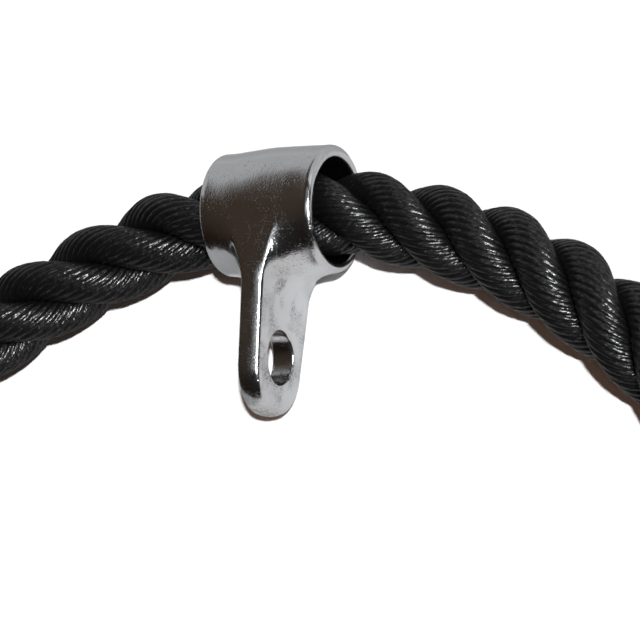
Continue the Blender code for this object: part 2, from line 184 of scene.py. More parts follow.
# Rubber: its flaws, the dust on it, its roughness clean and dusty, and its grain's height
RUBBER_FLAWS = {"Pit Spacing": 600, "Pit Size": 0.2, "Pit Cover": 0.6, "Smudge Scale": 70, "Grain Scale": 1300}
RUBBER_DUST_COLOUR = (0.0300, 0.0296, 0.0290)
RUBBER_ROUGHNESS = (0.85, 0.90)
RUBBER_BUMP = 0.00004

# Fibre: each noise's counts across and along a metre of yarn, its detail and roughness, and its share of the bump
FIBRE_NOISES = {
    "filaments": ((3200, 420, 1), 2, 0.6, 0.25),
    "specks": ((2500, 520, 1), 3, 0.7, 0.25),
    "kinks": ((300, 330, 1), 1, 0.5, 1.7),
}
FIBRE_BUMP = 0.0002
FIBRE_PALE = 2.2
FIBRE_ROUGHNESS = 0.5
FIBRE_SPECULAR = 0.10

# The gloss on the fibre: where its specks have it, how it fades as the surface turns away, and its coat
GLOSS_SPECKS = (0.44, 0.64)
GLOSS_FACING = (0.60, 0.15, 0.16, 1)
COAT_ROUGHNESS = 0.20
COAT_IOR = 1.65

# The floor's half width, and the cards' colour
FLOOR_HALF = 3.0
CARD_COLOUR = (0.98, 0.99, 1)

# The cards behind the object and on the floor: how far they reach to each side, back and up, and the fold between
# the floor's back and left cards
CARD_SIDE, CARD_BACK, CARD_TOP = 0.90, 0.40, 0.60
BACK_CARD_LEFT = -0.02
FLOOR_FOLD, FLOOR_LEFT_SIDE, FLOOR_FRONT = 0.13, -0.03, -0.60
OVER_FLOOR = 0.0005
BACK_STRENGTH, FLOOR_BACK_STRENGTH, FLOOR_LEFT_STRENGTH = 0.78, 0.80, 0.70

# The cards overhead: the direction to each, its distance, half width and half height, and its strength
OVERHEAD_CARDS = {
    "window": ((0.63, -0.10, 0.766), 2.0, 0.38, 0.36, 38),
    "ceiling_card": ((0.10, -0.16, 0.98), 2.0, 0.26, 0.24, 1.7),
    "pale_ceiling": ((0.12, 0.0, 0.99), 2.2, 0.75, 0.60, 0.26),
}

# The left cards, one behind the other: where the slanted edge of the first stands on the floor and how high it
# reaches, how far the last one's differ, the gap between two, and how much the last is dimmed
LEFT_CARDS = 4
EDGE_FOOT, FOOT_SHIFT = 0.059, -0.041
EDGE_PEAK, PEAK_SHIFT = 1.045, 0.365
LEFT_CARD_GAP = 0.002
LEFT_CARD_FADE = 0.75

# The room's shares of its colour in front and near the floor, and at the back, and the directions in between
ROOM_SHADE, ROOM_BACK = 0.4, 2.1
FRONT_TO_MIDDLE = (-0.70, -0.35)
MIDDLE_TO_BACK = (-0.6, 0.5)
FLOOR_TO_CEILING = (0.1, 0.5)
RIGHT_TO_LEFT = (-0.12, -0.42)


class RopeSettings(bpy.types.PropertyGroup):
    """Three strands laid round each other, each of yarns twisted the other way."""

    diameter: FloatProperty(name="Diameter", description="Rope across two bulges", default=0.030, unit="LENGTH")
    lay_left: FloatProperty(
        name="Lay, left", description="Length of one turn of a strand", default=0.0846, unit="LENGTH"
    )
    lay_right: FloatProperty(
        name="Lay, right", description="Length of one turn of a strand", default=0.0773, unit="LENGTH"
    )
    lay_phase: FloatProperty(
        name="Lay phase", description="Where the strands stand at the crown", default=0.361, unit="ROTATION"
    )
    strand_radius: FloatProperty(
        name="Strand radius", description="Radius of one strand", default=0.0070, unit="LENGTH"
    )
    yarns: IntProperty(name="Yarns", description="Yarns round the outside of a strand", default=14, min=5)
    yarn_sides: IntProperty(name="Yarn sides", description="Faces across one yarn", default=6, min=3)
    yarn_turn_left: FloatProperty(
        name="Yarn turn, left", description="Rope length in which a yarn goes once round", default=0.0308,
        unit="LENGTH",
    )
    yarn_turn_right: FloatProperty(
        name="Yarn turn, right", description="Rope length in which a yarn goes once round", default=0.0262,
        unit="LENGTH",
    )
    yarn_depth: FloatProperty(
        name="Yarn depth", description="How deep the grooves between yarns are", default=0.00065, unit="LENGTH"
    )
    ring_step: FloatProperty(
        name="Ring step", description="Rope length between two rings of points", default=0.0011, unit="LENGTH"
    )
    colour: FloatVectorProperty(
        name="Fibre", description="Colour of the fibre", default=(0.0023, 0.0023, 0.0025), size=3, subtype="COLOR"
    )


class CollarSettings(bpy.types.PropertyGroup):
    """A cast sleeve with a flat, holed lug."""

    wall: FloatProperty(name="Wall", description="Thickness of the sleeve", default=0.0030, unit="LENGTH")
    swell: FloatProperty(
        name="Swell", description="How far the sleeve swells away from the lug", default=0.0014, unit="LENGTH"
    )
    swell_start: FloatProperty(
        name="Swell start", description="Where the swell starts, along the bore", default=-0.0185, unit="LENGTH"
    )
    swell_run: FloatProperty(
        name="Swell run", description="Length over which it grows", default=0.0205, unit="LENGTH"
    )
    lug_thickness: FloatProperty(name="Lug", description="Thickness of the lug", default=0.0080, unit="LENGTH")
    tip_radius: FloatProperty(name="Tip", description="Radius of the lug's round end", default=0.0162, unit="LENGTH")
    tip_distance: FloatProperty(
        name="Tip reach", description="Bore's axis to the middle of the lug's end", default=0.0524, unit="LENGTH"
    )
    hole_distance: FloatProperty(
        name="Hole reach", description="Bore's axis to the hole's axis", default=0.0491, unit="LENGTH"
    )
    hole_radius: FloatProperty(name="Hole", description="Radius of the lug's hole", default=0.009, unit="LENGTH")
    flare_reach: FloatProperty(
        name="Flare reach", description="How far down the lug the flare to the sleeve goes", default=0.0115,
        unit="LENGTH",
    )
    flare_spread: FloatProperty(
        name="Flare spread", description="How far along the sleeve the lug flares out", default=0.0160,
        unit="LENGTH",
    )
    edge: FloatProperty(name="Edges", description="Rounding of the lug's edges", default=0.0007, unit="LENGTH")
    flare_edge: FloatProperty(
        name="Flare edges", description="How much rounder the flare's edges are", default=0.0046, unit="LENGTH"
    )
    crown: FloatProperty(
        name="Crown", description="How far the lug's narrow sides fall away at their edges", default=0.0011,
        unit="LENGTH",
    )
    crown_width: FloatProperty(
        name="Crown width", description="How far in from an edge that fall begins", default=0.0020, unit="LENGTH"
    )
    rim: FloatProperty(name="Rims", description="Rounding of the sleeve's outer rims", default=0.0015, unit="LENGTH")
    bore_edge: FloatProperty(
        name="Bore edges", description="Rounding of the bore's edges", default=0.0008, unit="LENGTH"
    )
    hole_edge: FloatProperty(
        name="Hole edges", description="Rounding of the hole's edges", default=0.0005, unit="LENGTH"
    )
    cell: FloatProperty(name="Cell", description="Size of the surface's faces", default=0.00040, unit="LENGTH")
    colour: FloatVectorProperty(
        name="Chrome", description="Colour of the plating", default=(0.43, 0.433, 0.44), size=3, subtype="COLOR"
    )


class StopSettings(bpy.types.PropertyGroup):
    """A moulded rubber stop, held on the rope's end by a washer and a screw."""

    radius: FloatProperty(name="Radius", description="Stop's largest radius", default=0.025, unit="LENGTH")
    length: FloatProperty(name="Length", description="Stop's length", default=0.056, unit="LENGTH")
    neck_radius: FloatProperty(name="Neck", description="Radius at the rope side", default=0.0188, unit="LENGTH")
    swell: FloatProperty(name="Swell", description="Length of the widening neck", default=0.024, unit="LENGTH")
    lip_length: FloatProperty(
        name="Lip", description="Length of the lip that grips the rope", default=0.0102, unit="LENGTH"
    )
    bore_clearance: FloatProperty(
        name="Bore", description="How much wider the bore is than the rope, all round", default=0.0020,
        unit="LENGTH",
    )
    recess_radius: FloatProperty(
        name="Recess", description="Radius of the recess in the outer end", default=0.0135, unit="LENGTH"
    )
    end_rounding: FloatProperty(
        name="End rounding", description="Rounding of the outer end", default=0.006, unit="LENGTH"
    )
    colour: FloatVectorProperty(
        name="Rubber", description="Colour of the rubber", default=(0.0235, 0.0235, 0.0235), size=3, subtype="COLOR"
    )


class FixingSettings(bpy.types.PropertyGroup):
    """What holds a stop on the rope. Depths are measured from the stop's rope side."""

    ferrule_start: FloatProperty(
        name="Ferrule start", description="Depth of the ferrule's inner end", default=0.0117, unit="LENGTH"
    )
    ferrule_end: FloatProperty(
        name="Ferrule end", description="Depth of the ferrule's outer end", default=0.0357, unit="LENGTH"
    )
    ferrule_wall: FloatProperty(
        name="Ferrule wall", description="Thickness of the ferrule", default=0.0014, unit="LENGTH"
    )
    crimps: IntProperty(name="Crimps", description="Grooves round the ferrule", default=3, min=1)
    crimp_depth: FloatProperty(
        name="Crimp depth", description="How deep the grooves are", default=0.0005, unit="LENGTH"
    )
    washer_seat: FloatProperty(
        name="Washer seat", description="Depth of the washer's inner face", default=0.0463, unit="LENGTH"
    )
    washer_thickness: FloatProperty(
        name="Washer", description="Thickness of the washer", default=0.0016, unit="LENGTH"
    )
    washer_radius: FloatProperty(
        name="Washer radius", description="Radius of the washer", default=0.012, unit="LENGTH"
    )
    screw_tip: FloatProperty(
        name="Screw tip", description="Depth of the screw's point", default=0.0137, unit="LENGTH"
    )
    screw_seat: FloatProperty(
        name="Screw seat", description="Depth of the underside of the screw's head", default=0.0482, unit="LENGTH"
    )
    point_length: FloatProperty(
        name="Point", description="Length of the screw's tapered point", default=0.005, unit="LENGTH"
    )
    core_radius: FloatProperty(
        name="Core", description="Radius at the bottom of the thread", default=0.0023, unit="LENGTH"
    )
    thread_depth: FloatProperty(
        name="Thread", description="Height of the thread over the core", default=0.0007, unit="LENGTH"
    )
    thread_pitch: FloatProperty(
        name="Pitch", description="Length of one turn of the thread", default=0.0024, unit="LENGTH"
    )


class StudioSettings(bpy.types.PropertyGroup):
    """The camera, the lamps, the floor and the room."""

    camera_place: FloatVectorProperty(
        name="Camera", description="Where the camera stands", default=(0.40796, -0.17052, 0.75987), size=3,
        subtype="XYZ", unit="LENGTH",
    )
    camera_turn: FloatVectorProperty(
        name="Camera turn", description="How the camera is turned", size=3, subtype="EULER",
        default=(math.radians(18.838), math.radians(25.781), math.radians(7.146)),
    )
    lens: FloatProperty(name="Lens", description="Focal length on a 36 mm sensor", default=150, unit="CAMERA")
    lamp_way: FloatVectorProperty(
        name="Lamp direction", description="Direction to the key lamp", default=(0.535, -0.15, 1), size=3,
        subtype="XYZ",
    )
    lamp_strength: FloatProperty(name="Lamp", description="Strength of the key lamp", default=3.8)
    lamp_angle: FloatProperty(
        name="Lamp size", description="How wide the key lamp looks", default=math.radians(2.5), unit="ROTATION"
    )
    lamp_colour: FloatVectorProperty(
        name="Lamp colour", description="Colour of the key lamp", default=(0.97, 0.985, 1), size=3, subtype="COLOR"
    )
    fill_strength: FloatProperty(
        name="Fill", description="Strength of the overhead lamp that fills the shadow", default=0.16
    )
    fill_angle: FloatProperty(
        name="Fill size", description="How wide that lamp looks", default=math.radians(110), unit="ROTATION"
    )
    fill_colour: FloatVectorProperty(
        name="Fill colour", description="Colour of that lamp", default=(1, 0.50, 0.32), size=3, subtype="COLOR"
    )
    floor_colour: FloatVectorProperty(
        name="Floor", description="Colour of the floor", default=(0.98, 0.98, 0.98), size=3, subtype="COLOR"
    )
    room_colour: FloatVectorProperty(
        name="Room", description="Colour of the dim room above the floor", default=(0.046, 0.032, 0.022), size=3,
        subtype="COLOR",
    )
    dark_colour: FloatVectorProperty(
        name="Dark side", description="Colour of the room's right side", default=(0.018, 0.015, 0.014), size=3,
        subtype="COLOR",
    )


class AttachmentSettings(bpy.types.PropertyGroup):
    """All the sizes and colours."""

    rope: PointerProperty(type=RopeSettings)
    collar: PointerProperty(type=CollarSettings)
    stop: PointerProperty(type=StopSettings)
    fixings: PointerProperty(type=FixingSettings)
    studio: PointerProperty(type=StudioSettings)


# Meshes


def grid_mesh(name, sheets):
    """A mesh of closed tubes. Each sheet is (rows x columns x 3 points, across, along), with a cap on each end,
    or with its last row joined to its first where across is None."""
    points, faces, coordinates = [], [], []
    base = 0
    for rows, across, along in sheets:
        count, columns = rows.shape[:2]
        points.append(rows.reshape(-1, 3))
        last = count if across is None else count - 1
        row, column = np.meshgrid(np.arange(last), np.arange(columns), indexing="ij")
        next_row, next_column = (row + 1) % count, (column + 1) % columns
        corners = [
            row * columns + column,
            row * columns + next_column,
            next_row * columns + next_column,
            next_row * columns + column,
        ]
        faces += (np.stack(corners, -1).reshape(-1, 4) + base).tolist()
        if across is not None:
            u = np.stack([across[column], across[column + 1], across[column + 1], across[column]], -1)
            v = np.stack([along[row], along[row], along[row + 1], along[row + 1]], -1)
            coordinates.append(np.stack([u, v], -1).reshape(-1, 2))
            faces.append([base + index for index in reversed(range(columns))])
            faces.append([base + (count - 1) * columns + index for index in range(columns)])
            coordinates.append(np.zeros((2 * columns, 2)))
        base += count * columns
    mesh = bpy.data.meshes.new(name)
    mesh.from_pydata(np.concatenate(points).tolist(), [], faces)
    if coordinates:
        layer = mesh.uv_layers.new(name="fibre")
        layer.data.foreach_set("uv", np.concatenate(coordinates).astype(np.float32).ravel())
    mesh.shade_smooth()
    return mesh


def add_object(name, mesh, material):
    """Puts a mesh into the scene with its material."""
    obj = bpy.data.objects.new(name, mesh)
    bpy.context.scene.collection.objects.link(obj)
    mesh.materials.append(material)
    return obj


def rounded(corners, steps=5):
    """A closed profile from (radius, height, rounding) corners, each rounding drawn as an arc."""
    outline = []
    count = len(corners)
    for index, (x, y, rounding) in enumerate(corners):
        here = Vector((x, y))
        before = Vector(corners[index - 1][:2]) - here
        after = Vector(corners[(index + 1) % count][:2]) - here
        angle = before.angle(after)
        if rounding == 0 or abs(angle - math.pi) < math.radians(1):
            outline.append(here)
            continue
        reach = rounding / math.tan(angle / 2)
        centre = here + (before.normalized() + after.normalized()).normalized() * rounding / math.sin(angle / 2)
        first = here + before.normalized() * reach - centre
        last = here + after.normalized() * reach - centre
        sweep = first.angle_signed(last)
        for step in range(steps + 1):
            turn = Matrix.Rotation(-sweep * step / steps, 2)
            outline.append(centre + turn @ first)
    return [(point.x, point.y) for point in outline]


def turned(name, outline, matrix, material, steps=96, shape=None):
    """A piece turned about its own Z from a closed (radius, height) outline that runs up its outer side."""
    angle = 2 * math.pi * np.arange(steps) / steps
    radius, height = np.array(outline).T
    radius = np.repeat(radius[:, None], steps, axis=1)
    height = np.repeat(height[:, None], steps, axis=1)
    if shape:
        radius, height = shape(radius, height, angle)
    rows = np.stack([radius * np.cos(angle), radius * np.sin(angle), height], -1)
    mesh = grid_mesh(name, [(rows, None, None)])
    mesh.set_sharp_from_angle(angle=math.radians(40))
    mesh.transform(matrix)
    return add_object(name, mesh, material)


# The rope's line


def ease(share):
    """A share from 0 to 1 with a soft start and end."""
    share = np.clip(share, 0, 1)
    return share * share * (3 - 2 * share)


def route_in_plan():
    """The smooth curve through the route's points: distances from the crown, and points."""
    steps = [*reversed(LEFT_ROUTE), (0, 0), *RIGHT_ROUTE]
    hand = np.array(steps) + CROWN.xy
    padded = np.vstack([2 * hand[0] - hand[1], hand, 2 * hand[-1] - hand[-2]])
    share = (np.arange(ROUTE_SAMPLES) / ROUTE_SAMPLES)[:, None]
    line = []
    for before, start, end, after in zip(padded, padded[1:], padded[2:], padded[3:]):
        line.append(
            start
            + (end - before) * share / 2
            + (2 * before - 5 * start + 4 * end - after) * share**2 / 2
            + (3 * start - before - 3 * end + after) * share**3 / 2
        )
    line = np.vstack([*line, hand[-1:]])
    distance = np.concatenate([[0], np.cumsum(np.linalg.norm(np.diff(line, axis=0), axis=1))])
    return distance - distance[len(LEFT_ROUTE) * ROUTE_SAMPLES], line


ROUTE_DISTANCE, ROUTE_LINE = route_in_plan()
LEFT_END, RIGHT_END = ROUTE_DISTANCE[0], ROUTE_DISTANCE[-1]


def plan_at(distance):
    """Points of the route in plan."""
    return np.stack([np.interp(distance, ROUTE_DISTANCE, ROUTE_LINE[:, axis]) for axis in range(2)], -1)


def rope_points(distance, settings):
    """Points of the rope's axis, which runs straight on into each stop."""
    distance = np.atleast_1d(distance)
    way = np.sign(distance)
    end = np.where(distance > 0, RIGHT_END, -LEFT_END)
    straight_from = end - STRAIGHT_END
    past = np.maximum(np.abs(distance) - straight_from, 0)
    base = plan_at(way * np.minimum(np.abs(distance), straight_from))
    run = plan_at(way * straight_from) - plan_at(way * (straight_from - END_LAND))
    run /= np.linalg.norm(run, axis=1)[:, None]
    plan = base + run * past[:, None]
    radius = settings.rope.diameter / 2
    in_collar = settings.collar.wall + TOUCH_GAP
    from_collar = np.abs(distance) - COLLAR_LENGTH / 2
    height = radius + in_collar * ease(1 - from_collar / COLLAR_RISE_RUN)
    height += (settings.stop.radius - radius) * ease(1 - (straight_from - np.abs(distance)) / STOP_RISE_RUN)
    return np.column_stack([plan, height])


def unit(vectors):
    """Vectors brought to a length of 1."""
    return vectors / np.linalg.norm(vectors, axis=-1, keepdims=True)


def rope_frame(distance, settings):
    """Points of the axis with the directions along, up and across it."""
    points = rope_points(distance, settings)
    along = unit(rope_points(distance + END_LAND / 2, settings) - rope_points(distance - END_LAND / 2, settings))
    up = unit(np.array([0, 0, 1]) - along * along[:, 2:])
    return points, along, up, np.cross(along, up)


def point(distance, settings):
    """One point of the rope's axis."""
    return Vector(rope_points(distance, settings)[0])


# The rope's strands


def wander(random, rows, columns, knot_rows, size):
    """A smooth random change down each column."""
    knots = max(rows // knot_rows, 2) + 1
    values = random.normal(0, size, (knots, columns))
    place = np.linspace(0, knots - 1, rows)
    below = np.minimum(place.astype(int), knots - 2)
    share = ease(place - below)[:, None]
    return values[below] * (1 - share) + values[below + 1] * share


def strand_rows(number, distance, settings):
    """One strand's rings of points, whose columns follow its yarns."""
    rope = settings.rope
    random = np.random.default_rng(RANDOM_SEED + number)
    axis, along, up, side = rope_frame(distance, settings)
    squeeze = 1 - DRAWN_IN * np.exp(-(((distance - DRAWN_IN_AT) / DRAWN_IN_WIDTH) ** 2))
    lay = np.where(distance < 0, rope.lay_left, rope.lay_right)
    turn = 2 * math.pi * (distance / lay + number / 3) + rope.lay_phase
    outward = np.cos(turn)[:, None] * up + np.sin(turn)[:, None] * side
    reach = (rope.diameter / 2 - rope.strand_radius) * squeeze
    centre = axis + outward * reach[:, None]
    strand_along = unit(np.gradient(centre, axis=0))
    outward = unit(outward - strand_along * np.sum(outward * strand_along, axis=1, keepdims=True))
    round_way = np.cross(strand_along, outward)

    rows, yarns, sides = len(distance), rope.yarns, rope.yarn_sides
    share = np.arange(sides) / sides * 2 - 1
    foot = math.sqrt(1 - YARN_ROUNDNESS**2)
    crown = (np.sqrt(1 - (YARN_ROUNDNESS * share) ** 2) - foot) / (1 - foot)
    swell = wander(random, rows, yarns, SWELL_RINGS, SWELL_SIZE)
    stray = wander(random, rows, yarns, STRAY_RINGS, STRAY_SIZE)
    yarn = np.arange(yarns)[:, None] + np.arange(sides)[None, :] / sides
    angle = 2 * math.pi * (yarn[None] + stray[:, :, None] * (1 - np.abs(share))) / yarns
    yarn_turn = np.where(distance < 0, rope.yarn_turn_left, rope.yarn_turn_right)
    angle = angle - 2 * math.pi * (distance / yarn_turn)[:, None, None]
    girth = rope.strand_radius * squeeze[:, None, None] - rope.yarn_depth * (1 - crown)
    girth = girth + swell[:, :, None] * crown
    angle, girth = angle.reshape(rows, -1), girth.reshape(rows, -1)
    ring = np.cos(angle)[:, :, None] * outward[:, None] + np.sin(angle)[:, :, None] * round_way[:, None]
    points = centre[:, None] + girth[:, :, None] * ring
    points[:, :, 2] = np.maximum(points[:, :, 2], 0)
    return points


def rope_piece(name, rows_of, distance, first, last, settings, material):
    """One stretch of the rope, from ring to ring, with its map of the fibre."""
    rope = settings.rope
    across = np.arange(rope.yarns * rope.yarn_sides + 1) * YARN_WIDTH / rope.yarn_sides
    sheets = []
    for number, rows in enumerate(rows_of):
        along = distance[first : last + 1] * YARN_STRETCH + number
        sheets.append((rows[first : last + 1], across + number, along))
    return add_object(name, grid_mesh(name, sheets), material)


def build_rope(settings):
    """The rope in three pieces: a short one inside the collar, and an arm on each side."""
    rope = settings.rope
    count = round((RIGHT_END - LEFT_END) / rope.ring_step)
    distance = np.linspace(LEFT_END, RIGHT_END, count + 1)
    rows_of = [strand_rows(number, distance, settings) for number in range(3)]
    left_seam = int(np.searchsorted(distance, -SEAM_DISTANCE))
    right_seam = int(np.searchsorted(distance, SEAM_DISTANCE))
    material = rope_fibre(settings)
    middle = rope_piece("rope_in_collar", rows_of, distance, left_seam, right_seam, settings, material)
    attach(middle, "rope")
    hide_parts("rope_middle")
    for side, way, first, last in (("left", -1, 0, left_seam), ("right", 1, right_seam, count)):
        piece = rope_piece(side + "_rope", rows_of, distance, first, last, settings, material)
        start, end = point(way * BEND_START, settings), point(way * BEND_END, settings)
        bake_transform(piece)
        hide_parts(side + "_rope_bend", side + "_rope_arm")


def declare_cords(settings):
    """Works out the path of each free stretch of rope and the point where it leaves the collar."""
    for side, way, end in (("left", -1, -LEFT_END), ("right", 1, RIGHT_END)):
        distance = np.linspace(SEAM_DISTANCE, end, CORD_SAMPLES) * way
        path = rope_points(distance, settings)
        point(way * COLLAR_LENGTH / 2, settings)


# The collar


def smooth_max(first, second, blend):
    """The larger of two distances, with the edge between them rounded over a width."""
    blend = np.maximum(blend, TINY)
    share = np.maximum(blend - np.abs(first - second), 0) / blend
    return np.maximum(first, second) + share * share * blend / 4


def collar_distance(points, collar):
    """How far points lie outside the casting, given from the bore's middle as (along bore, down lug, across lug)."""
    x, down, across = points.T
    in_bore = np.hypot(down, across)
    in_hole = np.hypot(down - collar.hole_distance, across)
    swell = collar.swell * ease((x - collar.swell_start) / collar.swell_run)
    down = np.where(down < 0, np.minimum(down + swell, 0), down)
    radius = np.maximum(np.hypot(down, across), TINY)
    half = collar.lug_thickness / 2

    # The outline seen along the bore: the sleeve's circle, the lug's straight sides and its round tip, with the
    # direction in which each is left
    slope = (COLLAR_RADIUS - collar.tip_radius) / collar.tip_distance
    level = math.sqrt(1 - slope * slope)
    width = np.abs(across)
    place = down * level - width * slope
    from_tip = np.hypot(width, down - collar.tip_distance)
    forms = [place < 0, place > level * collar.tip_distance]
    sides = width * level + down * slope - COLLAR_RADIUS
    outline = np.select(forms, [radius - COLLAR_RADIUS, from_tip - collar.tip_radius], sides)
    way_down = np.select(forms, [down / radius, (down - collar.tip_distance) / from_tip], slope)
    way_across = np.select(forms, [across / radius, across / from_tip], level * np.sign(across))

    # The lug's faces, which flare out into the sleeve along a quarter of an ellipse
    reach, spread = collar.flare_reach, collar.flare_spread
    to_r, to_x = COLLAR_RADIUS + reach - radius, half + spread - np.abs(x)
    share = np.maximum(np.hypot(to_r / reach, to_x / spread), TINY)
    steepness = np.maximum(np.hypot(to_r / reach**2, to_x / spread**2) / share, TINY)
    in_flare = (to_r > 0) & (to_x > 0)
    beside = to_x <= 0
    flange = np.where(beside, radius - COLLAR_RADIUS, np.abs(x) - half)
    flange = np.where(in_flare, (1 - share) / steepness, flange)
    way_r = np.where(in_flare, to_r / (reach**2 * share * steepness), np.where(beside, 1, 0))

    # Both together, with the edges between them rounded, then the rims, the bore and the hole
    apart = 1 - way_r * (way_down * down + way_across * across) / radius
    outline = outline + collar.crown * apart * np.exp(np.minimum(flange, 0) / collar.crown_width)
    on_flare = ease((np.abs(x) - half) / (FLARE_EDGE_SHARE * spread)) * np.sqrt(np.clip(apart, 0, 1))
    solid = smooth_max(outline, flange, EDGE_BLEND * (collar.edge * apart + collar.flare_edge * on_flare))
    solid = smooth_max(solid, np.abs(x) - COLLAR_LENGTH / 2, EDGE_BLEND * collar.rim)
    solid = smooth_max(solid, COLLAR_RADIUS - collar.wall - in_bore, EDGE_BLEND * collar.bore_edge)
    return smooth_max(solid, collar.hole_radius - in_hole, EDGE_BLEND * collar.hole_edge)


def onto_casting(points, collar, rounds=5):
    """Draws points onto the casting's surface along its slope."""
    for _ in range(rounds):
        value = collar_distance(points, collar)
        slope = np.stack(
            [
                (collar_distance(points + step, collar) - collar_distance(points - step, collar)) / (2 * SLOPE_STEP)
                for step in np.eye(3) * SLOPE_STEP
            ],
            -1,
        )
        move = value / np.maximum(np.sum(slope * slope, axis=1), LEAST_SLOPE)
        points = points - slope * np.clip(move, -MOST_MOVE, MOST_MOVE)[:, None]
    return points


def build_collar(settings):
    """The casting: the frame's collar, remeshed finely, with every point drawn onto its rounded form."""
    collar = settings.collar
    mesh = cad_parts["collar"].data.copy()
    mesh.materials.clear()
    obj = bpy.data.objects.new("collar_casting", mesh)
    bpy.context.scene.collection.objects.link(obj)
    remesh = obj.modifiers.new("cells", "REMESH")
    remesh.mode = "VOXEL"
    remesh.voxel_size = collar.cell
    graph = bpy.context.evaluated_depsgraph_get()
    fine = bpy.data.meshes.new_from_object(obj.evaluated_get(graph))
    obj.modifiers.clear()
    obj.data = fine
    bpy.data.meshes.remove(mesh)

    droop = math.asin((COLLAR_RADIUS - collar.tip_radius) / collar.tip_distance)
    axes = np.array(
        [(1, 0, 0), (0, -math.cos(droop), -math.sin(droop)), (0, math.sin(droop), -math.cos(droop))]
    )
    points = np.empty(len(fine.vertices) * 3)
    fine.vertices.foreach_get("co", points)
    local = (points.reshape(-1, 3) - np.array(CROWN)) @ axes.T
    placed = onto_casting(local, collar) @ axes + np.array(CROWN)
    fine.vertices.foreach_set("co", placed.ravel())
    fine.update()
    fine.shade_smooth()
    fine.materials.append(collar_chrome(settings))
    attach(obj, "collar")
    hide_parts("collar")


# The stops and their fixings


def end_matrix(way, settings):
    """Where a stop stands: its Z along the rope, outwards, from its rope side."""
    end = LEFT_END if way < 0 else RIGHT_END
    tip = point(end, settings)
    outward = (tip - point(end - way * END_LAND, settings)).normalized()
    across = Vector((0, 0, 1)).cross(outward).normalized()
    turn = Matrix((across, outward.cross(across), outward)).transposed().to_4x4()
    return Matrix.Translation(tip - outward * ROPE_END_DEPTH) @ turn


def stop_outline(settings, neck_steps=12):
    """The stop's profile: up its outside, into the recess, through the screw's hole and down the bore."""
    stop = settings.stop
    rope_radius = settings.rope.diameter / 2
    bore_radius = rope_radius + stop.bore_clearance
    corners = [(stop.neck_radius, 0, 0.0010)]
    for step in range(1, neck_steps + 1):
        share = step / neck_steps
        swell = stop.neck_radius + (stop.radius - stop.neck_radius) * float(ease(share))
        corners.append((swell, stop.swell * share, 0))
    corners += [
        (stop.radius, stop.length, stop.end_rounding),
        (stop.recess_radius, stop.length, 0.0012),
        (stop.recess_radius, WEB_DEPTH, 0.0008),
        (SCREW_HOLE_RADIUS, WEB_DEPTH, 0.0004),
        (SCREW_HOLE_RADIUS, BORE_DEPTH, 0.0004),
        (bore_radius, BORE_DEPTH, 0.0008),
        (bore_radius, stop.lip_length, 0.0005),
        (rope_radius + TOUCH_GAP, stop.lip_length, 0.0005),
        (rope_radius + TOUCH_GAP, 0, 0.0010),
    ]
    return rounded(corners)


def parting_line(radius, height, angle):
    """The thin ridge that the mould's two halves leave down the outside."""
    outside = (radius > RIDGE_FROM_RADIUS) & (height > RIDGE_FROM_DEPTH)
    ridge = np.exp(-((np.sin(angle) / RIDGE_WIDTH) ** 2))
    return radius + outside * RIDGE_HEIGHT * ridge, height


def build_stops(settings):
    """The two moulded stops."""
    rubber = stop_rubber(settings)
    for side, way in (("left", -1), ("right", 1)):
        laid = end_matrix(way, settings)
        stop = turned(side + "_stop", stop_outline(settings), laid, rubber, steps=144, shape=parting_line)
        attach(stop, side + "_arm")
        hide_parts(side + "_end_stop")


def ferrule_outline(settings):
    """The ferrule's profile: a thin tube with crimped grooves round it."""
    fixings = settings.fixings
    inner = settings.rope.diameter / 2 + TOUCH_GAP
    outer = inner + fixings.ferrule_wall
    groove = outer - fixings.crimp_depth
    low, high = fixings.ferrule_start, fixings.ferrule_end
    pitch = (high - low) / (2 * fixings.crimps + 1)
    corners = [(inner, low, 0.0003), (outer, low, 0.0005)]
    for crimp in range(fixings.crimps):
        start = low + (2 * crimp + 1) * pitch
        corners += [(outer, start, 0.001), (groove, start + pitch / 2, 0.001), (outer, start + pitch, 0.001)]
    corners += [(outer, high, 0.0005), (inner, high, 0.0003)]
    return rounded(corners)


def washer_outline(settings):
    """The washer's profile, its edges rounded by the punch."""
    outer, low = settings.fixings.washer_radius, settings.fixings.washer_seat
    high = low + settings.fixings.washer_thickness
    corners = [
        (SCREW_HOLE_RADIUS, low, 0.0002),
        (outer, low, 0.0004),
        (outer, high, 0.0005),
        (SCREW_HOLE_RADIUS, high, 0.0003),
    ]
    return rounded(corners)


def screw_mesh(name, settings, columns=48, shaft_rows=150):
    """A hexagon-headed screw: rings from its point up through its thread to the top of its head."""
    fixings = settings.fixings
    angle = 2 * math.pi * np.arange(columns) / columns
    height = np.linspace(fixings.screw_tip, fixings.screw_seat, shaft_rows)
    taper = np.clip((height - fixings.screw_tip) / fixings.point_length, BLUNTNESS, 1)
    lead = (height[:, None] / fixings.thread_pitch - angle[None] / (2 * math.pi)) % 1
    thread = np.clip(1 - np.abs(lead * 2 - 1) * FLANK_STEEPNESS, 0, 1)
    radius = taper[:, None] * (fixings.core_radius + fixings.thread_depth * thread)
    radius[height > BORE_DEPTH] = fixings.core_radius + fixings.thread_depth
    flats = HALF_FLATS / np.cos((angle + math.pi / 6) % (math.pi / 3) - math.pi / 6)
    radius = np.vstack([radius, [np.minimum(wide, flats) for wide, _ in HEAD_PROFILE]])
    height = np.concatenate([height, [fixings.screw_seat + level for _, level in HEAD_PROFILE]])
    rows = np.stack([radius * np.cos(angle), radius * np.sin(angle), height[:, None] + 0 * angle], -1)
    mesh = grid_mesh(name, [(rows, np.arange(columns + 1) / columns, height)])
    mesh.set_sharp_from_angle(angle=math.radians(30))
    return mesh


